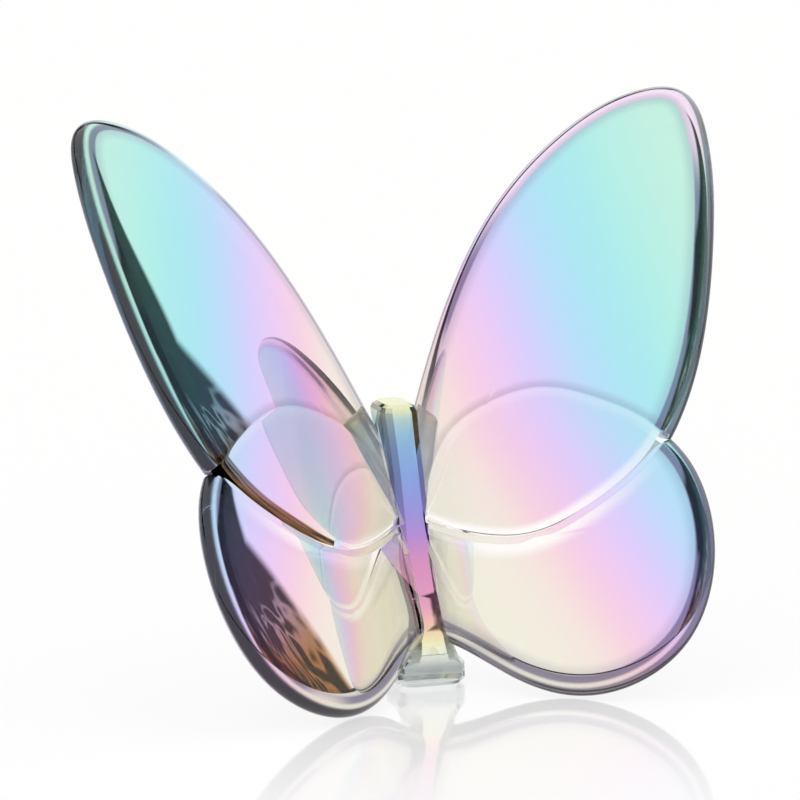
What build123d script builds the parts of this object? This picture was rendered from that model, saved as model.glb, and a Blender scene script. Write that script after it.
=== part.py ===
from build123d import *
import math
import os

# A crystal butterfly that stands by itself: a slim cut body on a flat foot, and on each side a
# teardrop forewing lapped over a round hindwing. Lengths are in millimetres and angles in degrees.
# The origin is the centre of the foot's underside, +Z is up and the butterfly faces -Y.

# How the wings stand. The root line is where both wing planes meet, in the plane of symmetry.
wing_rake = 35.2  # root line, back from the vertical
wing_swing = 31.8  # each wing, forward about the root line
root_line_forward = 5.5  # root line in front of the foot's centre, at the floor

# Outlines, measured from the root line (outward) and along it (upward).
forewing_reach = 44.3
forewing_rise = 64.3
hindwing_reach = 34.8
hindwing_rise = 31.5
hindwing_drop = 5.7

# Blade section. The forewing stands proud of the hindwing in front, and the hindwing behind.
blade_thickness = 3.6
rim_radius = 1.5
relief_step = 0.5

# Clear adhesive, and how deep the wings' root facets sit: their distance from the root line.
bond_thickness = 0.1
root_distance = 2.2

# Body, from the foot up: height above the floor, width, depth, and for all but the foot how far
# the section's centre lies behind the root line at that height.
foot_height = 2.4
foot_width = 8.0
foot_depth = 6.6
flare_height = 3.7
flare_width = 5.8
flare_depth = 5.6
flare_behind = 2.3
waist_height = 5.6
waist_width = 5.1
waist_depth = 5.1
waist_behind = 1.4
thorax_height = 12.0
thorax_width = 6.3
thorax_depth = 5.8
thorax_behind = 0.6
neck_height = 17.4
neck_width = 4.3
neck_depth = 5.8
neck_behind = -0.9
shoulder_height = 24.0
shoulder_width = 4.1
shoulder_depth = 6.2
shoulder_behind = -3.2
head_height = 30.6
head_width = 4.4
head_depth = 6.2
head_behind = -5.1
head_rounding = 1.0
foot_rounding = 0.5
foot_corner_share = 0.45
body_corner_share = 0.3
body_steps = 20

# Room past the object for cutting tools.
overrun = 20.0

# Outline points as shares of the reach and of the rise (of the drop where they are negative),
# from the root's upper end, over the tip and back to the root's lower end.
forewing_shares = [
    (-0.035, 0.364),
    (0.113, 0.568),
    (0.245, 0.727),
    (0.416, 0.868),
    (0.637, 0.967),
    (0.833, 1.000),
    (0.970, 0.972),
    (1.001, 0.879),
    (0.960, 0.692),
    (0.879, 0.513),
    (0.773, 0.372),
    (0.659, 0.288),
    (0.495, 0.235),
    (0.322, 0.211),
    (0.190, 0.236),
    (-0.018, 0.336),
]
hindwing_shares = [
    (-0.030, 0.643),
    (0.105, 0.767),
    (0.204, 0.922),
    (0.366, 0.999),
    (0.547, 1.000),
    (0.712, 0.906),
    (0.857, 0.776),
    (0.949, 0.638),
    (0.999, 0.392),
    (0.956, 0.121),
    (0.830, -0.461),
    (0.618, -1.005),
    (0.434, -0.887),
    (0.272, -0.300),
    (0.147, 0.082),
    (-0.029, 0.237),
]


def outline(shares, reach, rise, drop):
    points = []
    for across, up in shares:
        height = up * rise if up > 0 else up * drop
        points.append((across * reach, height))
    edge = Spline(*points)
    root = Line(points[-1], points[0])
    return make_face([edge, root])


def slab(face, low, high):
    return extrude(Pos(0, 0, low) * face, high - low)


def blank(face, offset):
    # A plate of the outline with both rims rounded, its middle plane moved by the offset.
    half = blade_thickness / 2
    plate = slab(face, offset - half, offset + half)
    flats = plate.faces().filter_by(Axis.Z)
    return fillet(flats.edges(), rim_radius)


def beyond_root(distance):
    # Everything farther from the root line than the distance, in the wing's own frame.
    size = forewing_reach + forewing_rise + overrun
    return Pos(distance + size / 2, 0, 0) * Box(size, 2 * size, size)


forewing_face = outline(forewing_shares, forewing_reach, forewing_rise, hindwing_drop)
hindwing_face = outline(hindwing_shares, hindwing_reach, hindwing_rise, hindwing_drop)
forewing_blank = blank(forewing_face, relief_step / 2)
hindwing_blank = blank(hindwing_face, -relief_step / 2)

# Half lap: in the overlap the forewing keeps the front half and the hindwing the back half.
half_bond = bond_thickness / 2
lap_reach = blade_thickness + relief_step
forewing_blade = forewing_blank - slab(hindwing_face, -lap_reach, half_bond)
hindwing_blade = hindwing_blank - slab(forewing_face, -half_bond, lap_reach)
lap_film = slab(forewing_face & hindwing_face, -half_bond, half_bond)

# The root facets, and the films between them and the body.
root_floor = root_distance - bond_thickness
crystal_side = beyond_root(root_distance)
socket_side = beyond_root(root_floor)
forewing_piece = forewing_blade & crystal_side
hindwing_piece = hindwing_blade & crystal_side
lap_bond_piece = lap_film & socket_side
forewing_bond_piece = (forewing_blade & socket_side) - crystal_side
hindwing_bond_piece = (hindwing_blade & socket_side) - crystal_side
socket_tool = (forewing_blank + hindwing_blank) & socket_side

# Wing frame: x outward along the blade, y up the root line, z out of the blade's front face.
rake = math.radians(wing_rake)
swing = math.radians(wing_swing)
outward = Vector(math.cos(swing), -math.sin(swing) * math.cos(rake), math.sin(swing) * math.sin(rake))
front = Vector(-math.sin(swing), -math.cos(swing) * math.cos(rake), math.cos(swing) * math.sin(rake))
root_start = Vector(0, -root_line_forward, 0)
upward = Vector(0, math.sin(rake), math.cos(rake))
unset_frame = Plane(origin=root_start, x_dir=outward, z_dir=front)

# The wings slide along the root line until the hindwings' lobes touch the floor.
lobe_bottom = (unset_frame * hindwing_piece).bounding_box().min.Z
slide = -lobe_bottom / math.cos(rake)
wing_frame = Plane(origin=root_start + upward * slide, x_dir=outward, z_dir=front)


def slopes(heights, values):
    # Slope at each station: flat at a widest or narrowest one, else between its two spans' slopes.
    spans = []
    for i in range(len(heights) - 1):
        spans.append((values[i + 1] - values[i]) / (heights[i + 1] - heights[i]))
    result = [spans[0]]
    for below, above in zip(spans, spans[1:]):
        turning = below * above <= 0
        result.append(0 if turning else 2 * below * above / (below + above))
    result.append(spans[-1])
    return result


def smoothed(heights, values, height):
    # Cubic between the two stations around the height, with no overshoot.
    steepness = slopes(heights, values)
    span = 0
    while span < len(heights) - 2 and height > heights[span + 1]:
        span += 1
    rise = heights[span + 1] - heights[span]
    t = (height - heights[span]) / rise
    start = (2 * t**3 - 3 * t**2 + 1) * values[span] + (t**3 - 2 * t**2 + t) * rise * steepness[span]
    end = (3 * t**2 - 2 * t**3) * values[span + 1] + (t**3 - t**2) * rise * steepness[span + 1]
    return start + end


def rounded_section(height, centre, width, depth, corner_share):
    radius = corner_share * min(width, depth)
    return Pos(0, centre, height) * RectangleRounded(width, depth, radius)


def make_body():
    heights = [foot_height, flare_height, waist_height, thorax_height]
    heights += [neck_height, shoulder_height, head_height]
    widths = [foot_width, flare_width, waist_width, thorax_width]
    widths += [neck_width, shoulder_width, head_width]
    depths = [foot_depth, flare_depth, waist_depth, thorax_depth]
    depths += [neck_depth, shoulder_depth, head_depth]
    behinds = [flare_behind, waist_behind, thorax_behind]
    behinds += [neck_behind, shoulder_behind, head_behind]
    centres = [0]
    for height, behind in zip(heights[1:], behinds):
        centres.append(-root_line_forward + height * math.tan(rake) + behind)
    corner_shares = [foot_corner_share] + [body_corner_share] * len(behinds)
    sections = []
    for step in range(body_steps + 1):
        height = foot_height + (head_height - foot_height) * step / body_steps
        centre = smoothed(heights, centres, height)
        width = smoothed(heights, widths, height)
        depth = smoothed(heights, depths, height)
        corner_share = smoothed(heights, corner_shares, height)
        sections.append(rounded_section(height, centre, width, depth, corner_share))
    rod = loft(sections)
    rod = fillet(rod.faces().sort_by(Axis.Z)[-1].edges(), head_rounding)
    plinth = extrude(rod.faces().sort_by(Axis.Z)[0], foot_height)
    plinth = chamfer(plinth.faces().sort_by(Axis.Z)[0].edges(), foot_rounding)
    return rod + plinth


def export_pair(piece, name):
    right = wing_frame * piece
    export_step(right, f"parts/right_{name}.step")
    export_step(mirror(right, Plane.YZ), f"parts/left_{name}.step")


os.makedirs("parts", exist_ok=True)

right_socket = wing_frame * socket_tool
body = make_body() - right_socket - mirror(right_socket, Plane.YZ)
export_step(body, "parts/body.step")
export_pair(forewing_piece, "forewing")
export_pair(hindwing_piece, "hindwing")
export_pair(lap_bond_piece, "lap_bond")
export_pair(forewing_bond_piece, "forewing_bond")
export_pair(hindwing_bond_piece, "hindwing_bond")
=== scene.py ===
import math

import bpy
import numpy as np
from mathutils import Matrix, Vector


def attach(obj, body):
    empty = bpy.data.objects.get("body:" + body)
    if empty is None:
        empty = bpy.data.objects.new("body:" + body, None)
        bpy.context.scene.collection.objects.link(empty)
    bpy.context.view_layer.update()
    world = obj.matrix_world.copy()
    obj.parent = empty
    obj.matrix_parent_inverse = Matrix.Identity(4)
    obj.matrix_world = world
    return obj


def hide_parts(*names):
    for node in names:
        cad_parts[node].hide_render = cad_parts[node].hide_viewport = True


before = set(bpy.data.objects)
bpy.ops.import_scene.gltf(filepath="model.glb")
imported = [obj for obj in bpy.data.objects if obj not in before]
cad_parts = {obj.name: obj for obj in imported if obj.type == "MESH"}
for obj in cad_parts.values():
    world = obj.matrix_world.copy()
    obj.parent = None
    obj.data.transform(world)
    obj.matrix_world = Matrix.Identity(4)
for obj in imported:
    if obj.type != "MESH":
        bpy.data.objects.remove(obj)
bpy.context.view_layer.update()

# Lengths are in metres, in the part's own frame: +Z up, the butterfly faces -Y.
MM = 0.001

# How the wings stand, as in the solids: the root line leans back, the blades swing forward.
wing_rake = math.radians(35.2)
wing_swing = math.radians(31.8)
root_line_forward = 5.5 * MM

# Blade section: half its thickness, how round its rim is, how much thinner it is at the rim than
# in the middle, and how far the forewing stands proud of the hindwing in front, and the hindwing
# of the forewing behind.
blade_half = 1.8 * MM
rim_reach = 8.0 * MM
rim_power = 7.4
crown = 0.10
crown_reach = 10.0 * MM
relief_step = 0.5 * MM

# Rows of faces from the outline inward: over the rim, then over the field, almost to the spine.
outline_count = 300
rim_width = 1.7 * MM
rim_rows = 12
rim_rows_power = 2
rim_search = 4000
field_rows = 22
field_rows_power = 1.3
field_end = 0.985

# The root facet's distance from the root line, how far a blank is drawn past it, and the room that
# its cutters and the body's sockets leave.
root_distance = 2.2 * MM
root_overlap = 3.2 * MM
root_room = 0.4 * MM
socket_inset = 0.8 * MM

# Where the solids' outlines are taken, off the plane in which the blades meet, and how they are
# evened out.
section_height = 0.3 * MM
smoothing_passes = 12
ends_reach = 3

# Points closer than this count as one, on a mesh, in an outline and where a plane cuts.
tight = 0.001 * MM
close = 0.01 * MM
bisect_threshold = 0.00001 * MM
no_length = 1e-18

# Edges flatter than this are shaded smooth.
wing_smooth_angle = math.radians(30)
body_smooth_angle = math.radians(20)

# The bonded faces' place in a piece's materials, after its crystal.
joint_index = 1

# The line along the middle of each blade that its rows of faces close in on, in mm.
spines = {"forewing": ((12.0, 31.0), (31.0, 50.0)), "hindwing": ((13.0, 14.0), (23.0, 13.0))}

# Camera: 800 x 800 frame, long lens, from a little to the left of the front and above.
frame_pixels = 800
focal_pixels = 6500
sensor_width_mm = 36.0
camera_target = Vector((-2.58, 0.0, 32.74)) * MM
camera_distance = 734.1 * MM
camera_azimuth = math.radians(-17.95)
camera_elevation = math.radians(10.53)
camera_roll = math.radians(-0.86)


def deselect():
    if bpy.context.object and bpy.context.object.mode != "OBJECT":
        bpy.ops.object.mode_set(mode="OBJECT")
    bpy.ops.object.select_all(action="DESELECT")


def pick(piece):
    deselect()
    piece.select_set(True)
    bpy.context.view_layer.objects.active = piece


def new_object(name, mesh):
    piece = bpy.data.objects.new(name, mesh)
    bpy.context.scene.collection.objects.link(piece)
    return piece


def copied(piece, name):
    return new_object(name, piece.data.copy())


def discard(*pieces):
    for piece in pieces:
        bpy.data.objects.remove(piece)


def cut_away(piece, cutter):
    pick(piece)
    modifier = piece.modifiers.new("cut", "BOOLEAN")
    modifier.operation = "DIFFERENCE"
    modifier.solver = "EXACT"
    modifier.material_mode = "TRANSFER"
    modifier.object = cutter
    bpy.ops.object.modifier_apply(modifier=modifier.name)


# The wing's flat frame: x outward along the blade, y up the root line, z out of its front face.
outward = Vector((math.cos(wing_swing), -math.sin(wing_swing) * math.cos(wing_rake),
                  math.sin(wing_swing) * math.sin(wing_rake)))
upward = Vector((0, math.sin(wing_rake), math.cos(wing_rake)))
wing_front = outward.cross(upward)
wing_matrix = Matrix((outward, upward, wing_front)).transposed().to_4x4()
wing_matrix.translation = Vector((0, -root_line_forward, 0))
to_flat = wing_matrix.inverted()
to_left = Matrix.Scale(-1, 4, (1, 0, 0))


def section(node, height):
    """The node's outline at that height of its flat frame, as an open run of points that starts
    and ends at the root facet."""
    piece = copied(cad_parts[node], "section")
    piece.data.transform(to_flat)
    pick(piece)
    bpy.ops.object.mode_set(mode="EDIT")
    bpy.ops.mesh.select_all(action="SELECT")
    bpy.ops.mesh.remove_doubles(threshold=tight)
    bpy.ops.mesh.bisect(plane_co=(0, 0, height), plane_no=(0, 0, 1), use_fill=False,
                        clear_inner=True, clear_outer=True, threshold=bisect_threshold)
    bpy.ops.mesh.select_all(action="SELECT")
    bpy.ops.mesh.remove_doubles(threshold=close)
    bpy.ops.object.mode_set(mode="OBJECT")
    places = np.array([vertex.co[:2] for vertex in piece.data.vertices])
    discard(piece)
    facet = places[:, 0] < places[:, 0].min() + close
    corner = places[facet][places[facet, 1].argmin()]
    rest = places[~facet]
    run = [corner]
    while len(rest):
        nearest = int(np.hypot(*(rest - run[-1]).T).argmin())
        run.append(rest[nearest])
        rest = np.delete(rest, nearest, axis=0)
    run.append(places[facet][places[facet, 1].argmax()])
    return np.array(run)


def evened(points, count):
    """The run of points, evenly spaced and smoothed, with its ends kept."""
    steps = np.hypot(*np.diff(points, axis=0).T)
    along = np.concatenate([[0], np.cumsum(steps)])
    even = np.linspace(0, along[-1], count)
    run = np.stack([np.interp(even, along, points[:, k]) for k in (0, 1)], axis=1)
    for _ in range(smoothing_passes):
        run[1:-1] = (run[:-2] + 2 * run[1:-1] + run[2:]) / 4
    return run


def with_root(run):
    """The closed outline: the run, carried straight on past the root facet."""
    ends = []
    for end, near in ((run[0], run[ends_reach]), (run[-1], run[-1 - ends_reach])):
        onward = end - near
        ends.append(end + onward / np.hypot(*onward) * root_overlap)
    return np.concatenate([ends[:1], run, ends[1:]])


def run_distance(points, run):
    """How far each point lies from the run of outline points."""
    nearest = np.full(len(points), np.inf)
    for start, end in zip(run, run[1:]):
        span = end - start
        along = np.clip((points - start) @ span / max(span @ span, no_length), 0, 1)
        nearest = np.minimum(nearest, np.hypot(*(points - start - along[:, None] * span).T))
    return nearest


def flat_face(name, loop, height):
    mesh = bpy.data.meshes.new(name)
    points = [(x, y, height) for x, y in loop]
    mesh.from_pydata(points, [], [list(range(len(points)))])
    piece = new_object(name, mesh)
    if mesh.polygons[0].normal.z < 0:
        mesh.flip_normals()
    return piece


def close_boundary():
    """One flat face over the open loop that a cut has left."""
    bpy.ops.mesh.select_all(action="SELECT")
    bpy.ops.mesh.remove_doubles(threshold=bisect_threshold)
    bpy.ops.mesh.select_all(action="DESELECT")
    bpy.ops.mesh.select_mode(type="EDGE")
    bpy.ops.mesh.select_non_manifold(extend=False, use_wire=False, use_boundary=True,
                                     use_multi_face=False, use_non_contiguous=False, use_verts=False)
    bpy.ops.mesh.edge_face_add()
    bpy.ops.mesh.select_mode(type="VERT")


def rim_height(distance):
    """Half thickness of a flat blade at that distance in from its outline."""
    left = 1 - np.minimum(distance / rim_reach, 1)
    return blade_half * np.sqrt(np.maximum(1 - left**rim_power, 0))


def blade_height(distance):
    """The same for a blade that is crowned."""
    left = 1 - np.minimum(distance / crown_reach, 1)
    return rim_height(distance) * (1 - crown * left**2)


def rim_distances():
    """Rows across the rim, with one of them level with the other blade's face."""
    level = blade_half - relief_step
    search = np.linspace(0, rim_width, rim_search)
    heights = blade_height(search)
    steps = np.linspace(0, 1, rim_rows + 1) ** rim_rows_power * rim_width
    place = search[int(np.abs(heights - level).argmin())]
    steps[int(np.abs(steps - place).argmin())] = place
    return steps


def blank(name, loop, middle, root=root_distance):
    """A blade with a fully rounded rim and a slight crown, in rows from its outline inward."""
    start, end = (np.array(point) * MM for point in spines[name])
    tangent = np.roll(loop, -1, axis=0) - np.roll(loop, 1, axis=0)
    tangent /= np.hypot(*tangent.T)[:, None]
    inward = np.stack([-tangent[:, 1], tangent[:, 0]], axis=1)
    rim = loop + inward * rim_width
    share = np.clip((rim - start) @ (end - start) / ((end - start) @ (end - start)), 0, 1)
    centre = start + share[:, None] * (end - start)
    rows = []
    for distance in rim_distances():
        rows.append(loop + inward * distance)
    for row in range(1, field_rows + 1):
        rows.append(rim + (centre - rim) * field_end * (row / field_rows) ** field_rows_power)
    vertices = []
    for points in rows:
        height = blade_height(run_distance(points, loop[1:-1]))
        height[height < close] = 0
        vertices += [(x, y, z) for (x, y), z in zip(points, height)]
    count = len(loop)
    faces = []
    for row in range(len(rows) - 1):
        low = row * count
        for i in range(count):
            after = (i + 1) % count
            faces.append((low + i, low + after, low + count + after, low + count + i))
    faces.append(tuple(range((len(rows) - 1) * count, len(rows) * count)))
    mesh = bpy.data.meshes.new(name)
    mesh.from_pydata(vertices, [], faces)
    piece = new_object(name, mesh)
    pick(piece)
    mirror = piece.modifiers.new("back", "MIRROR")
    mirror.use_axis = (False, False, True)
    mirror.merge_threshold = tight
    bpy.ops.object.modifier_apply(modifier=mirror.name)
    bpy.ops.object.mode_set(mode="EDIT")
    bpy.ops.mesh.select_all(action="SELECT")
    bpy.ops.mesh.bisect(plane_co=(root, 0, 0), plane_no=(1, 0, 0), use_fill=False,
                        clear_inner=True, threshold=bisect_threshold)
    close_boundary()
    bpy.ops.mesh.select_all(action="SELECT")
    bpy.ops.mesh.normals_make_consistent(inside=False)
    bpy.ops.object.mode_set(mode="OBJECT")
    piece.data.transform(Matrix.Translation((0, 0, middle)))
    return piece


def socket(run, low, high):
    """The part of a blade that the body makes room for, from its root facet outward."""
    tangent = np.gradient(run, axis=0)
    tangent /= np.hypot(*tangent.T)[:, None]
    inner = run + np.stack([-tangent[:, 1], tangent[:, 0]], axis=1) * socket_inset
    inner[[0, -1], 0] = root_distance
    piece = flat_face("socket", inner, low)
    pick(piece)
    bpy.ops.object.mode_set(mode="EDIT")
    bpy.ops.mesh.select_all(action="SELECT")
    bpy.ops.mesh.extrude_region_move(TRANSFORM_OT_translate={"value": (0, 0, high - low)})
    bpy.ops.mesh.select_all(action="SELECT")
    bpy.ops.mesh.normals_make_consistent(inside=False)
    bpy.ops.object.mode_set(mode="OBJECT")
    piece.data.materials.append(joint)
    piece.data.transform(wing_matrix)
    return piece


def halved(piece, keep_front):
    """The half of a blade in front of or behind the plane where the blades meet."""
    pick(piece)
    bpy.ops.object.mode_set(mode="EDIT")
    bpy.ops.mesh.select_all(action="SELECT")
    bpy.ops.mesh.bisect(plane_co=(0, 0, 0), plane_no=(0, 0, 1), use_fill=False,
                        clear_inner=keep_front, clear_outer=not keep_front, threshold=bisect_threshold)
    close_boundary()
    bpy.ops.mesh.select_all(action="SELECT")
    bpy.ops.mesh.normals_make_consistent(inside=False)
    bpy.ops.object.mode_set(mode="OBJECT")
    return piece


def linear(*display):
    """A colour as a node wants it, from the values that a display shows."""
    return [c / 12.92 if c <= 0.04045 else ((c + 0.055) / 1.055) ** 2.4 for c in display] + [1]


def joint_material():
    """Where two crystal pieces are bonded, light passes on straight."""
    material = bpy.data.materials.new("bonded_face")
    material.use_nodes = True
    tree = material.node_tree
    tree.nodes.clear()
    clear = tree.nodes.new("ShaderNodeBsdfTransparent")
    output = tree.nodes.new("ShaderNodeOutputMaterial")
    tree.links.new(clear.outputs[0], output.inputs["Surface"])
    return material


def math_node(tree, operation, a, b=None):
    node = tree.nodes.new("ShaderNodeMath")
    node.operation = operation
    for entry, value in zip(node.inputs, (a, b)):
        if value is None:
            continue
        if isinstance(value, (int, float)):
            entry.default_value = value
        else:
            tree.links.new(value, entry)
    return node.outputs[0]


def times(tree, first, *others):
    result = first
    for other in others:
        result = math_node(tree, "MULTIPLY", result, other)
    return result


def plus(tree, a, b):
    return math_node(tree, "ADD", a, b)


def minus(tree, a, b):
    return math_node(tree, "SUBTRACT", a, b)


def dot_node(tree, vector, direction):
    node = tree.nodes.new("ShaderNodeVectorMath")
    node.operation = "DOT_PRODUCT"
    tree.links.new(vector, node.inputs[0])
    node.inputs[1].default_value = direction
    return node.outputs["Value"]


def ramp_node(tree, value, stops, low, high):
    scaled = tree.nodes.new("ShaderNodeMapRange")
    tree.links.new(value, scaled.inputs["Value"])
    scaled.inputs["From Min"].default_value = low
    scaled.inputs["From Max"].default_value = high
    ramp = tree.nodes.new("ShaderNodeValToRGB")
    tree.links.new(scaled.outputs[0], ramp.inputs[0])
    elements = ramp.color_ramp.elements
    while len(elements) < len(stops):
        elements.new(0.5)
    for element, (place, colour) in zip(elements, stops):
        element.position = (place - low) / (high - low)
        element.color = linear(*colour)
    ramp.color_ramp.interpolation = "B_SPLINE"
    return ramp.outputs["Color"]


# Coating colours along the blade, in millimetres from the root line. They run aslant: climbing by a
# millimetre counts as a share of one along the blade, more below the pivot than above it. On the left
# wings the whole run lies a little farther out.
coat_stops = [
    (2, (0.93, 0.92, 0.86)),
    (8, (0.95, 0.89, 0.86)),
    (12, (0.96, 0.80, 0.87)),
    (16, (0.92, 0.79, 0.95)),
    (20, (0.84, 0.80, 0.98)),
    (24, (0.74, 0.85, 0.97)),
    (29, (0.66, 0.89, 0.94)),
    (35, (0.68, 0.92, 0.90)),
    (42, (0.76, 0.93, 0.87)),
]
coat_range = (0, 45)
coat_pivot = 28.0
coat_climb_above = 0.15
coat_climb_below = 0.37
left_shift = -4.0

# How the pressed faces curve, as a share of tilt over each millimetre from a middle point that is
# given along the blade and up the root line. In the overlap most of the tilt is taken away.
domes = {
    "forewing": ((20.0, 35.0), (1 / 80, 1 / 62)),
    "hindwing": ((18.0, 11.0), (1 / 60, 1 / 60)),
}
dome_facing = 2.0
flatter_within = (0.0, 0.5)
flatter_share = 0.85

# Shares of metal in the coating, on the front, the back and the rim, and how squarely a face has to
# look forward or back to have it. Near the body it thins out.
glass_ior = 1.54
coat_front = 0.9
coat_back = 0.35
coat_rim = 0.12
coat_facing = (0.62, 0.93)
coat_behind = (-0.62, -0.93)
coat_thins = (3.0, 10.0)
coat_thin_share = 0.5
ahead_facing = (0.0, 0.3)

# Painted highlights, painted shade and painted reflections in bands that follow the outlines, each
# with the distances in millimetres between which it comes and goes. They lie by the blade's own
# outline, or by the other blade's, where inside is above zero.
# Painted highlight where the forewing's edge stands proud of the hindwing.
proud_highlight_other = (0.2, 0.6)
proud_highlight_edge = (2.4, 1.4)
proud_highlight_fades = (34.0, 14.0)
proud_highlight_fade_share = 0.65
# Painted highlight on the hindwing along the forewing's edge, in front.
painted_glow_other = ((-2.0, -0.3), (0.2, 0.0))
painted_glow_share = 1.5
# Painted shade outside the other blade's edge.
painted_shade_other = ((-1.3, -0.1), (0.15, -0.1))
painted_shade_share = 0.3
painted_shade_colour = (0.45, 0.42, 0.50)
# Painted highlight inside the other blade's edge.
painted_highlight_other = ((0.0, 0.4), (1.6, 0.4))
painted_highlight_share = 0.18
painted_highlight_colour = (1.0, 0.99, 0.98)
free_other = (0.3, 0.0)
# Painted dark reflection: a line along the free rim.
dark_reflection_line_edge = (0.65, 0.4)
dark_reflection_line_share = 0.8
dark_reflection_line_colour = (0.32, 0.26, 0.42)
# Painted dark reflections: broken stretches inside that line.
dark_reflection_stretch_edge = ((0.8, 1.2), (2.0, 1.7))
dark_reflection_stretch_noise = (0.33, 0.47)
dark_reflection_stretch_scale = 70.0
dark_reflection_stretch_share = 0.75
dark_reflection_stretch_colour = (0.34, 0.27, 0.45)
# Painted reflection: a pale pink crescent at the right forewing's tip.
reflected_crescent_edge = ((0.5, 0.6), (2.0, 1.8))
reflected_crescent_climb = (48.0, 57.0)
reflected_crescent_share = 0.9
reflected_crescent_colour = (0.98, 0.87, 0.96)
# Painted shade near the rim.
painted_rim_shade_edge = ((3.4, 1.8), (1.0, 1.8))
painted_rim_shade_share = 0.3
painted_rim_shade_colour = (0.45, 0.45, 0.62)


def attribute_node(tree, name):
    node = tree.nodes.new("ShaderNodeAttribute")
    node.attribute_name = name
    return node.outputs["Fac"]


def mixed_node(tree, share, colour, other):
    node = tree.nodes.new("ShaderNodeMixRGB")
    tree.links.new(share, node.inputs[0])
    tree.links.new(colour, node.inputs[1])
    node.inputs[2].default_value = linear(*other)
    return node.outputs[0]


def soft_step(tree, value, low, high):
    """0 at the first value, 1 at the second, whichever of them is the higher."""
    step = tree.nodes.new("ShaderNodeMapRange")
    step.interpolation_type = "SMOOTHSTEP"
    tree.links.new(value, step.inputs["Value"])
    step.inputs["From Min"].default_value = low
    step.inputs["From Max"].default_value = high
    return step.outputs[0]


def between(tree, value, coming, going):
    """1 where both soft steps are up."""
    return times(tree, soft_step(tree, value, *coming), soft_step(tree, value, *going))


def scaled_node(tree, vector, factor):
    node = tree.nodes.new("ShaderNodeVectorMath")
    node.operation = "SCALE"
    node.inputs[0].default_value = vector
    tree.links.new(factor, node.inputs["Scale"])
    return node.outputs[0]


def vector_sum(tree, a, b):
    node = tree.nodes.new("ShaderNodeVectorMath")
    node.operation = "ADD"
    tree.links.new(a, node.inputs[0])
    tree.links.new(b, node.inputs[1])
    return node.outputs[0]


def tilted_normal(tree, glass, normal, tilt):
    """The glass is shaded with its normal tilted by a vector."""
    unit = tree.nodes.new("ShaderNodeVectorMath")
    unit.operation = "NORMALIZE"
    tree.links.new(vector_sum(tree, normal, tilt), unit.inputs[0])
    tree.links.new(unit.outputs[0], glass.inputs["Normal"])


def noise_node(tree, vector, scale, detail, distortion=0.0):
    noise = tree.nodes.new("ShaderNodeTexNoise")
    noise.inputs["Scale"].default_value = scale
    noise.inputs["Detail"].default_value = detail
    noise.inputs["Distortion"].default_value = distortion
    tree.links.new(vector, noise.inputs["Vector"])
    return noise.outputs[0]


def wing_place(tree, sign):
    """How far a point lies along the blade and up the root line, in millimetres."""
    place = tree.nodes.new("ShaderNodeTexCoord").outputs["Object"]
    start = Vector((0, -root_line_forward, 0))
    along = dot_node(tree, place, Vector((sign * outward.x, outward.y, outward.z)) / MM)
    climb = dot_node(tree, place, upward / MM)
    along = minus(tree, along, start.dot(outward) / MM)
    climb = minus(tree, climb, start.dot(upward) / MM)
    return along, climb


def entry_sign(tree, geometry):
    """1 where light meets the crystal from outside, -1 from inside."""
    return plus(tree, times(tree, geometry.outputs["Backfacing"], -2.0), 1.0)


def crystal(name):
    material = bpy.data.materials.new(name)
    material.use_nodes = True
    tree = material.node_tree
    tree.nodes.clear()
    output = tree.nodes.new("ShaderNodeOutputMaterial")
    glass = tree.nodes.new("ShaderNodeBsdfPrincipled")
    glass.inputs["Transmission Weight"].default_value = 1.0
    glass.inputs["Roughness"].default_value = 0.0
    glass.inputs["IOR"].default_value = glass_ior
    tree.links.new(glass.outputs[0], output.inputs["Surface"])
    return material, tree, glass


def coat_colour(tree, along, climb, shift):
    """The coating's colour run, from cream at the root to turquoise and green at the tip."""
    over = minus(tree, climb, coat_pivot)
    above = times(tree, math_node(tree, "MAXIMUM", over, 0.0), coat_climb_above)
    below = times(tree, math_node(tree, "MINIMUM", over, 0.0), coat_climb_below)
    total = plus(tree, plus(tree, along, plus(tree, above, below)), shift)
    return ramp_node(tree, total, coat_stops, *coat_range)


def shell_tilt(tree, kind, sign, along, climb, facing, other):
    """The pressed blade is a shallow shell: its curve tilts the way both faces look, less in the
    overlap, where the two blades together are flatter."""
    (middle_along, middle_climb), (bend_along, bend_climb) = domes[kind]
    turned = math_node(tree, "MAXIMUM", times(tree, facing, dome_facing), -1)
    turned = math_node(tree, "MINIMUM", turned, 1)
    flatter = times(tree, soft_step(tree, other, *flatter_within), flatter_share)
    turned = times(tree, turned, minus(tree, 1.0, flatter))
    tilt_along = times(tree, minus(tree, along, middle_along), bend_along, turned)
    tilt_climb = times(tree, minus(tree, climb, middle_climb), bend_climb, turned)
    across = (sign * outward.x, outward.y, outward.z)
    return vector_sum(tree, scaled_node(tree, across, tilt_along),
                      scaled_node(tree, upward, tilt_climb))


def face_coat(tree, outside, along):
    """The faces are coated, the front one more, and less towards the body; the rim is nearly clear."""
    coat = plus(tree, times(tree, soft_step(tree, outside, *coat_facing), coat_front - coat_rim),
                times(tree, soft_step(tree, outside, *coat_behind), coat_back - coat_rim))
    root = times(tree, soft_step(tree, along, *coat_thins), 1 - coat_thin_share)
    return times(tree, plus(tree, coat, coat_rim), plus(tree, root, coat_thin_share))


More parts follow.
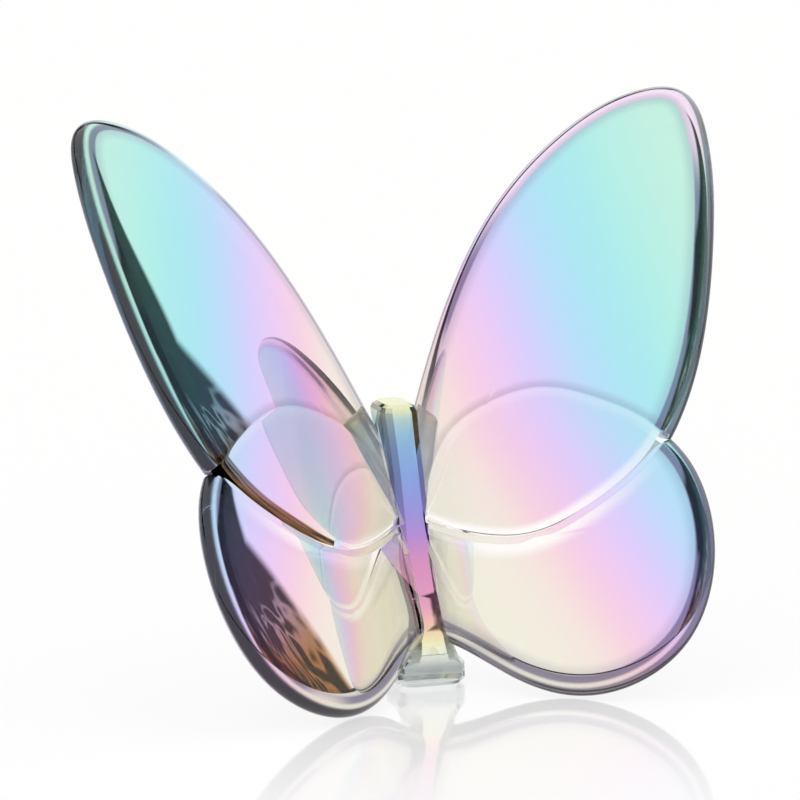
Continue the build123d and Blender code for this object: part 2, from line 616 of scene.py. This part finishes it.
def lap_painted_light(tree, colour, kind, other, ahead, fading, proud_highlight):
    """Painted shade outside the other blade's edge and painted highlights inside it."""
    # Painted shade outside the other blade's edge.
    painted_shade = times(tree, between(tree, other, *painted_shade_other), painted_shade_share)
    if kind == "hindwing":
        # In front, the hindwing has a painted highlight instead, a pale band by the forewing's edge.
        painted_shade = times(tree, painted_shade, minus(tree, 1.0, ahead))
        glow = times(tree, between(tree, other, *painted_glow_other), ahead, fading, painted_glow_share)
        proud_highlight = math_node(tree, "MAXIMUM", proud_highlight, glow)
    # Painted highlight inside the other blade's edge.
    painted_highlight = times(tree, between(tree, other, *painted_highlight_other), painted_highlight_share)
    painted_highlight = math_node(tree, "MAXIMUM", painted_highlight, proud_highlight)
    colour = mixed_node(tree, painted_shade, colour, painted_shade_colour)
    return mixed_node(tree, painted_highlight, colour, painted_highlight_colour)


def rim_painted_light(tree, colour, has_reflected_crescent, climb, edge, other):
    """Painted reflections and painted shade along the rim, where the other blade doesn't cover it."""
    free = soft_step(tree, other, *free_other)
    # Painted dark reflection: a line along the free rim.
    dark_reflection_line = times(tree, soft_step(tree, edge, *dark_reflection_line_edge), free, dark_reflection_line_share)
    colour = mixed_node(tree, dark_reflection_line, colour, dark_reflection_line_colour)
    # Painted dark purple reflections lie in stretches inside the outermost line.
    place = tree.nodes.new("ShaderNodeTexCoord").outputs["Object"]
    broken = soft_step(tree, noise_node(tree, place, dark_reflection_stretch_scale, 0.0), *dark_reflection_stretch_noise)
    dark_reflection_stretch = times(tree, between(tree, edge, *dark_reflection_stretch_edge), broken, free)
    if has_reflected_crescent:
        # This tip has a painted reflection there instead, a pale pink crescent.
        tip = soft_step(tree, climb, *reflected_crescent_climb)
        dark_reflection_stretch = times(tree, dark_reflection_stretch, minus(tree, 1.0, tip))
        reflected_crescent = times(tree, between(tree, edge, *reflected_crescent_edge), tip, reflected_crescent_share)
        colour = mixed_node(tree, reflected_crescent, colour, reflected_crescent_colour)
    colour = mixed_node(tree, times(tree, dark_reflection_stretch, dark_reflection_stretch_share), colour, dark_reflection_stretch_colour)
    # Painted shade: the colour is a little deeper near the rim.
    painted_rim_shade = times(tree, between(tree, edge, *painted_rim_shade_edge), free, painted_rim_shade_share)
    return mixed_node(tree, painted_rim_shade, colour, painted_rim_shade_colour)


def wing_crystal(kind, side, sign, shift):
    material, tree, glass = crystal(f"{side}_{kind}_crystal")
    along, climb = wing_place(tree, sign)
    # Distances inside the blade's own outline and inside the other blade's.
    edge = attribute_node(tree, "edge")
    other = attribute_node(tree, "other")
    geometry = tree.nodes.new("ShaderNodeNewGeometry")
    front = (sign * wing_front.x, wing_front.y, wing_front.z)
    facing = dot_node(tree, geometry.outputs["Normal"], front)
    tilted_normal(tree, glass, geometry.outputs["Normal"],
                  shell_tilt(tree, kind, sign, along, climb, facing, other))
    outside = times(tree, facing, entry_sign(tree, geometry))
    ahead = soft_step(tree, outside, *ahead_facing)
    # A painted highlight, a pale band fading outward, where the forewing's edge stands proud of the
    # hindwing.
    fading = times(tree, soft_step(tree, along, *proud_highlight_fades), proud_highlight_fade_share)
    proud_highlight = times(tree, soft_step(tree, other, *proud_highlight_other), soft_step(tree, edge, *proud_highlight_edge), ahead,
                  plus(tree, fading, 1 - proud_highlight_fade_share))
    coat = math_node(tree, "MAXIMUM", face_coat(tree, outside, along), times(tree, proud_highlight, coat_front))
    tree.links.new(coat, glass.inputs["Metallic"])
    colour = coat_colour(tree, along, climb, shift)
    colour = lap_painted_light(tree, colour, kind, other, ahead, fading, proud_highlight)
    colour = rim_painted_light(tree, colour, (side, kind) == ("right", "forewing"), climb, edge, other)
    tree.links.new(colour, glass.inputs["Base Color"])
    return material


# Coating colours up the body, in millimetres from the floor, with a painted dark reflection as a
# dark grey-green band low on the foot.
body_stops = [
    (0.3, (0.90, 0.92, 0.92)),
    # Painted dark reflection on the foot.
    (0.9, (0.60, 0.65, 0.64)),
    (1.9, (0.62, 0.67, 0.66)),
    (2.6, (0.93, 0.94, 0.92)),
    (3.8, (0.92, 0.93, 0.84)),
    (5.2, (0.90, 0.91, 0.68)),
    (7.0, (0.95, 0.74, 0.66)),
    (9.5, (0.88, 0.60, 0.78)),
    (13.5, (0.86, 0.58, 0.72)),
    (16.5, (0.68, 0.55, 0.84)),
    (21.0, (0.55, 0.61, 0.88)),
    (26.0, (0.52, 0.70, 0.86)),
    (29.0, (0.64, 0.78, 0.80)),
    (30.5, (0.98, 0.97, 0.74)),
]
body_range = (0, 32)

# Narrow facets and flanks, told by how far they look to the side, get a painted dark reflection
# above the foot, the flanks less. The coating starts above the foot and is weaker from inside.
narrow_aside = (0.25, 0.6)
narrow_share = 0.65
flank_aside = (0.95, 0.99)
flank_share = 0.5
aside_height = (2.4, 4.0)
# Painted dark reflection on the side facets.
painted_side_reflection_colour = (0.27, 0.22, 0.34)
body_coat = 0.85
body_coat_height = (2.2, 5.5)
body_coat_inside = 0.3
body_askew = 0.14


def body_crystal():
    material, tree, glass = crystal("body_crystal")
    place = tree.nodes.new("ShaderNodeTexCoord").outputs["Object"]
    height = dot_node(tree, place, (0, 0, 1 / MM))
    colour = ramp_node(tree, height, body_stops, *body_range)
    geometry = tree.nodes.new("ShaderNodeNewGeometry")
    outside = minus(tree, 1.0, geometry.outputs["Backfacing"])
    # Painted dark reflection: the side facets are darker in colour than the front one.
    aside = math_node(tree, "ABSOLUTE", dot_node(tree, geometry.outputs["Normal"], (1, 0, 0)))
    flank = times(tree, soft_step(tree, aside, *flank_aside), flank_share)
    narrow = times(tree, soft_step(tree, aside, *narrow_aside), narrow_share)
    aside = times(tree, minus(tree, narrow, flank), soft_step(tree, height, *aside_height), outside)
    colour = mixed_node(tree, aside, colour, painted_side_reflection_colour)
    tree.links.new(colour, glass.inputs["Base Color"])
    # The foot is left nearly clear.
    coat = times(tree, soft_step(tree, height, *body_coat_height), body_coat - coat_rim)
    outside = plus(tree, times(tree, outside, 1 - body_coat_inside), body_coat_inside)
    coat = plus(tree, times(tree, coat, outside), coat_rim)
    tree.links.new(coat, glass.inputs["Metallic"])
    # The facets are cut a little askew.
    askew = times(tree, entry_sign(tree, geometry), body_askew)
    tilted_normal(tree, glass, geometry.outputs["Normal"], scaled_node(tree, (-1, 0, 0), askew))
    return material


# Body stations from the foot up: height, width, depth, centre's y, in millimetres. The foot's own
# ring and the head's rounding come before and after the smooth run between them.
body_foot = [(0.0, 7.0, 5.6, 0.0), (0.5, 8.0, 6.6, 0.0)]
body_stations = [
    (2.4, 8.0, 6.6, 0.0),
    (3.7, 5.8, 5.6, -0.59),
    (5.6, 5.1, 5.1, -0.15),
    (12.0, 6.3, 5.8, 3.57),
    (17.4, 4.3, 5.8, 5.87),
    (24.0, 4.1, 6.2, 8.23),
    (29.8, 4.4, 6.2, 10.4),
]
body_head = [(30.3, 3.9, 5.7, 10.55), (30.6, 3.0, 4.8, 10.6)]
body_steps = 30


def smooth_stations():
    """The stations' values between them, with no overshoot."""
    stations = np.array(body_stations)
    heights = stations[:, 0]
    spans = np.diff(stations, axis=0) / np.diff(heights)[:, None]
    slopes = [spans[0]]
    for below, above in zip(spans, spans[1:]):
        total = below + above
        total[total == 0] = 1
        slopes.append(np.where(below * above > 0, 2 * below * above / total, 0))
    slopes.append(spans[-1])
    result = []
    for height in np.linspace(heights[0], heights[-1], body_steps + 1):
        i = min(int(np.searchsorted(heights, height, side="right")) - 1, len(heights) - 2)
        rise = heights[i + 1] - heights[i]
        t = (height - heights[i]) / rise
        value = ((2 * t**3 - 3 * t**2 + 1) * stations[i] + (t**3 - 2 * t**2 + t) * rise * slopes[i]
                 + (3 * t**2 - 2 * t**3) * stations[i + 1] + (t**3 - t**2) * rise * slopes[i + 1])
        result.append((height, *value[1:]))
    return result


# Corners of a section as shares of its half width and half depth: a broad front facet, two narrow
# ones beside it, the sides and the back.
body_corners = [
    (-0.52, -1.0), (0.52, -1.0), (0.86, -0.86), (1.0, -0.62), (1.0, 0.62),
    (0.6, 1.0), (-0.6, 1.0), (-1.0, 0.62), (-1.0, -0.62), (-0.86, -0.86),
]


def body_rod():
    """The cut rod: a ring of corners that is extruded up from section to section."""
    body_sections = body_foot + smooth_stations() + body_head
    mesh = bpy.data.meshes.new("body_rod")
    first = body_sections[0]
    ring = [(x * first[1] / 2 * MM, y * first[2] / 2 * MM, 0) for x, y in body_corners]
    mesh.from_pydata(ring, [], [tuple(range(len(ring)))])
    piece = new_object("body_rod", mesh)
    pick(piece)
    bpy.ops.object.mode_set(mode="EDIT")
    bpy.ops.mesh.select_all(action="SELECT")
    for (z0, w0, d0, y0), (z1, w1, d1, y1) in zip(body_sections, body_sections[1:]):
        bpy.ops.mesh.extrude_region_move(
            TRANSFORM_OT_translate={"value": (0, (y1 - y0) * MM, (z1 - z0) * MM)})
        bpy.ops.transform.resize(value=(w1 / w0, d1 / d0, 1), center_override=(0, y1 * MM, z1 * MM))
    bpy.ops.mesh.select_all(action="SELECT")
    bpy.ops.mesh.normals_make_consistent(inside=False)
    bpy.ops.object.mode_set(mode="OBJECT")
    return piece


def finish_piece(piece, name, node, limit):
    piece.name = name
    pick(piece)
    bpy.ops.object.shade_smooth_by_angle(angle=limit)
    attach(piece, "root")
    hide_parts(node)


def within(x, y, polygon):
    """Whether the point lies inside the polygon."""
    result = False
    for (x0, y0), (x1, y1) in zip(polygon, polygon[1:] + polygon[:1]):
        if (y0 > y) != (y1 > y) and x < (x1 - x0) * (y - y0) / (y1 - y0) + x0:
            result = not result
    return result


def mark_embedded(piece, low, high, other):
    """Rim faces that lie inside the neighbouring blade are bonded faces too."""
    polygon = [tuple(point) for point in other]
    for face in piece.data.polygons:
        x, y, z = face.center
        if low < z < high and within(x, y, polygon):
            face.material_index = joint_index


def inner_distance(points, loop):
    """How far each point lies inside the loop, below zero outside it, in millimetres."""
    nearest = run_distance(points, np.concatenate([loop, loop[:1]]))
    crossings = np.zeros(len(points), int)
    for start, end in zip(loop, np.roll(loop, -1, axis=0)):
        span = end - start
        level = (start[1] > points[:, 1]) != (end[1] > points[:, 1])
        if span[1]:
            left = points[:, 0] < start[0] + span[0] * (points[:, 1] - start[1]) / span[1]
            crossings += level & left
    return np.where(crossings % 2, nearest, -nearest) / MM


def mark_distances(piece, own, other):
    """How far each corner of a wing lies inside its own outline and the other blade's."""
    corners = np.array([to_flat @ vertex.co for vertex in piece.data.vertices])[:, :2]
    for name, loop in (("edge", own), ("other", other)):
        layer = piece.data.attributes.new(name, "FLOAT", "POINT")
        layer.data.foreach_set("value", inner_distance(corners, loop).astype(np.float32))


# The studio's dark places, by the parts of a direction: across to the right, back and rise. Each
# pair of numbers is where a place begins and where it is full. The gap's rise is in degrees above
# the horizon, and the first mirror images are told by how often light has been turned.
room_across = (0.08, 0.18)
room_back = (-0.12, -0.18)
room_top = (0.94, 0.90)
room_lean_from = 0.63
room_lean = 1.3
room_low_from = 0.65
room_low_lean = 0.9
room_low = (-0.78, -0.70)
first_mirror = (2.6, 2.4)
gap_degrees = ((20, 23), (32, 29))
gap_across = (0.5, 0.4)
gap_back = (0.15, 0.25)
slot_rise = ((-0.05, -0.03), (0.06, 0.04))
slot_back = (0.1, 0.0)
mirrored_level = 1.06
dark_depth = 1.04

# Soft streaks of light low in the dark room.
streak_stretch = (1.8, 1.8, 0.5)
streak_scale = 4.0
streak_detail = 1.0
streak_distortion = 1.2
streak_middle = 0.56
streak_width = (0.09, 0.0)
streak_rise = (0.6, 0.4)
streak_level = 0.4
warm_rise = (0.5, 0.25)
warm_colour = (1.0, 0.72, 0.40)


def sines(degrees):
    return [math.sin(math.radians(angle)) for angle in degrees]


def over_zero(tree, a, b):
    return math_node(tree, "MAXIMUM", minus(tree, a, b), 0.0)


def dark_room(tree, across, back, rise, path):
    """The dark room in front, on the right. Its edge leans back higher up, and it ends in front of
    a slanting line low down."""
    leaning = minus(tree, back, times(tree, over_zero(tree, rise, room_lean_from), room_lean))
    room = times(tree, soft_step(tree, across, *room_across), soft_step(tree, leaning, *room_back),
                 soft_step(tree, rise, *room_top))
    lower = plus(tree, back, times(tree, over_zero(tree, room_low_from, rise), room_low_lean))
    room = times(tree, room, soft_step(tree, lower, *room_low))
    # It shows in first mirror images, not in the mirror images of one wing in the other.
    return times(tree, room, soft_step(tree, path.outputs["Ray Depth"], *first_mirror))


def studio_world():
    """What the crystal mirrors: white all round, but for a dark room in front on the right, a gap
    under the ceiling at the back and a slot above the floor in front."""
    world = bpy.data.worlds.new("studio")
    bpy.context.scene.world = world
    world.use_nodes = True
    tree = world.node_tree
    tree.nodes.clear()
    direction = tree.nodes.new("ShaderNodeTexCoord").outputs["Generated"]
    across = dot_node(tree, direction, (1, 0, 0))
    back = dot_node(tree, direction, (0, 1, 0))
    rise = dot_node(tree, direction, (0, 0, 1))
    path = tree.nodes.new("ShaderNodeLightPath")
    room = dark_room(tree, across, back, rise, path)
    gap = times(tree, between(tree, rise, *(sines(pair) for pair in gap_degrees)),
                soft_step(tree, across, *gap_across), soft_step(tree, back, *gap_back))
    slot = times(tree, between(tree, rise, *slot_rise), soft_step(tree, back, *slot_back))
    dark = math_node(tree, "MAXIMUM", room, math_node(tree, "MAXIMUM", gap, slot))
    level = minus(tree, mirrored_level, times(tree, dark, dark_depth))
    # Streaks of light low in the dark room, which is warm at the bottom.
    stretched = tree.nodes.new("ShaderNodeVectorMath")
    stretched.operation = "MULTIPLY"
    stretched.inputs[1].default_value = streak_stretch
    tree.links.new(direction, stretched.inputs[0])
    streaks = noise_node(tree, stretched.outputs[0], streak_scale, streak_detail, streak_distortion)
    off_middle = math_node(tree, "ABSOLUTE", minus(tree, streaks, streak_middle))
    streak = times(tree, soft_step(tree, off_middle, *streak_width), room,
                   soft_step(tree, rise, *streak_rise))
    level = plus(tree, level, times(tree, streak, streak_level))
    warm = times(tree, room, soft_step(tree, rise, *warm_rise))
    tint = tree.nodes.new("ShaderNodeMixRGB")
    tree.links.new(warm, tint.inputs[0])
    tint.inputs[1].default_value = (1, 1, 1, 1)
    tint.inputs[2].default_value = linear(*warm_colour)
    # What isn't mirrored or seen through the crystal is lit by plain white.
    sharp = math_node(tree, "MAXIMUM", path.outputs["Is Glossy Ray"], path.outputs["Is Transmission Ray"])
    strength = plus(tree, times(tree, level, sharp), minus(tree, 1.0, sharp))
    background = tree.nodes.new("ShaderNodeBackground")
    tree.links.new(tint.outputs[0], background.inputs["Color"])
    tree.links.new(strength, background.inputs["Strength"])
    output = tree.nodes.new("ShaderNodeOutputWorld")
    tree.links.new(background.outputs[0], output.inputs["Surface"])


# The floor: its size, how much of it glows instead of being lit, and its polish, which shows to the
# camera and fades out from the butterfly.
floor_size = 6.0
floor_glow = 0.75
floor_roughness = 0.05
floor_ior = 1.45
floor_polish = (0.095, 0.01)


def floor():
    deselect()
    bpy.ops.mesh.primitive_plane_add(size=floor_size, location=(0, 0, 0))
    plane = bpy.context.object
    plane.name = "floor"
    material = bpy.data.materials.new("white_floor")
    material.use_nodes = True
    tree = material.node_tree
    tree.nodes.clear()
    output = tree.nodes.new("ShaderNodeOutputMaterial")
    matt = tree.nodes.new("ShaderNodeBsdfDiffuse")
    matt.inputs["Color"].default_value = (1, 1, 1, 1)
    glow = tree.nodes.new("ShaderNodeEmission")
    glow.inputs["Color"].default_value = (1, 1, 1, 1)
    base = tree.nodes.new("ShaderNodeMixShader")
    base.inputs[0].default_value = floor_glow
    tree.links.new(matt.outputs[0], base.inputs[1])
    tree.links.new(glow.outputs[0], base.inputs[2])
    gloss = tree.nodes.new("ShaderNodeBsdfGlossy")
    gloss.inputs["Color"].default_value = (1, 1, 1, 1)
    gloss.inputs["Roughness"].default_value = floor_roughness
    path = tree.nodes.new("ShaderNodeLightPath")
    fresnel = tree.nodes.new("ShaderNodeFresnel")
    fresnel.inputs["IOR"].default_value = floor_ior
    share = times(tree, fresnel.outputs[0], path.outputs["Is Camera Ray"])
    place = tree.nodes.new("ShaderNodeTexCoord").outputs["Object"]
    radius = tree.nodes.new("ShaderNodeVectorMath")
    radius.operation = "LENGTH"
    tree.links.new(place, radius.inputs[0])
    share = times(tree, share, soft_step(tree, radius.outputs["Value"], *floor_polish))
    mix = tree.nodes.new("ShaderNodeMixShader")
    tree.links.new(share, mix.inputs[0])
    tree.links.new(base.outputs[0], mix.inputs[1])
    tree.links.new(gloss.outputs[0], mix.inputs[2])
    tree.links.new(mix.outputs[0], output.inputs["Surface"])
    plane.data.materials.append(material)


def camera():
    data = bpy.data.cameras.new("camera")
    data.sensor_width = sensor_width_mm
    data.lens = sensor_width_mm * focal_pixels / frame_pixels
    data.clip_start = 0.01
    view = new_object("camera", data)
    back = Vector((math.sin(camera_azimuth) * math.cos(camera_elevation),
                   -math.cos(camera_azimuth) * math.cos(camera_elevation),
                   math.sin(camera_elevation)))
    turn = (-back).to_track_quat("-Z", "Y").to_matrix() @ Matrix.Rotation(camera_roll, 3, "Z")
    view.matrix_world = Matrix.Translation(camera_target + back * camera_distance) @ turn.to_4x4()
    bpy.context.scene.camera = view


joint = joint_material()
forewing_run = evened(section("right_forewing", section_height), outline_count)
hindwing_run = evened(section("right_hindwing", -section_height), outline_count)
forewing_loop = with_root(forewing_run)
hindwing_loop = with_root(hindwing_run)

rod = body_rod()
rod.data.materials.append(body_crystal())

meeting = blade_half - relief_step / 2
blanks = {
    "forewing": blank("forewing", forewing_loop, relief_step / 2),
    "hindwing": blank("hindwing", hindwing_loop, -relief_step / 2),
}
# In the overlap the forewing keeps the front half and the hindwing the back half.
longer_root = root_distance - root_room
halves = {
    "forewing": halved(blank("forewing", forewing_loop, relief_step / 2, longer_root), True),
    "hindwing": halved(blank("hindwing", hindwing_loop, -relief_step / 2, longer_root), False),
}
for piece in halves.values():
    piece.data.materials.append(joint)
rights = {}
for kind, other, other_loop, low, high in (
        ("forewing", "hindwing", hindwing_loop, 0.0, meeting),
        ("hindwing", "forewing", forewing_loop, -meeting, 0.0)):
    piece = blanks[kind]
    piece.data.materials.append(wing_crystal(kind, "right", 1, 0.0))
    piece.data.materials.append(joint)
    mark_embedded(piece, low, high, other_loop)
    cut_away(piece, halves[other])
    piece.data.transform(wing_matrix)
    rights[kind] = piece
discard(*halves.values())

# The body and the blades meet in bonded faces.
rod_cutter = copied(rod, "rod_cutter")
rod_cutter.data.materials.clear()
rod_cutter.data.materials.append(joint)
rod.data.materials.append(joint)
rear = blade_half + relief_step / 2
for run, low, high in ((forewing_run, -meeting, rear), (hindwing_run, -rear, meeting)):
    for mirrored in (False, True):
        cutter = socket(run, low, high)
        if mirrored:
            cutter.data.transform(to_left)
            cutter.data.flip_normals()
        cut_away(rod, cutter)
        discard(cutter)
for piece in rights.values():
    cut_away(piece, rod_cutter)
    pick(piece)
    bpy.ops.object.mode_set(mode="EDIT")
    close_boundary()
    bpy.ops.object.mode_set(mode="OBJECT")
discard(rod_cutter)

mark_distances(rights["forewing"], forewing_loop, hindwing_loop)
mark_distances(rights["hindwing"], hindwing_loop, forewing_loop)

# The left wings are the right ones, mirrored.
for kind, piece in rights.items():
    twin = copied(piece, "twin")
    twin.data.transform(to_left)
    twin.data.flip_normals()
    twin.data.materials[0] = wing_crystal(kind, "left", -1, left_shift)
    for made, side in ((piece, "right"), (twin, "left")):
        finish_piece(made, f"{side}_{kind}_crystal", f"{side}_{kind}", wing_smooth_angle)
finish_piece(rod, "body_crystal_rod", "body", body_smooth_angle)

# The films are seen as clear as the bonded faces.
for name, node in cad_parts.items():
    if name.endswith("_bond"):
        node.data.materials.clear()
        node.data.materials.append(joint)

studio_world()
floor()
camera()
bpy.context.scene.view_settings.view_transform = "Standard"
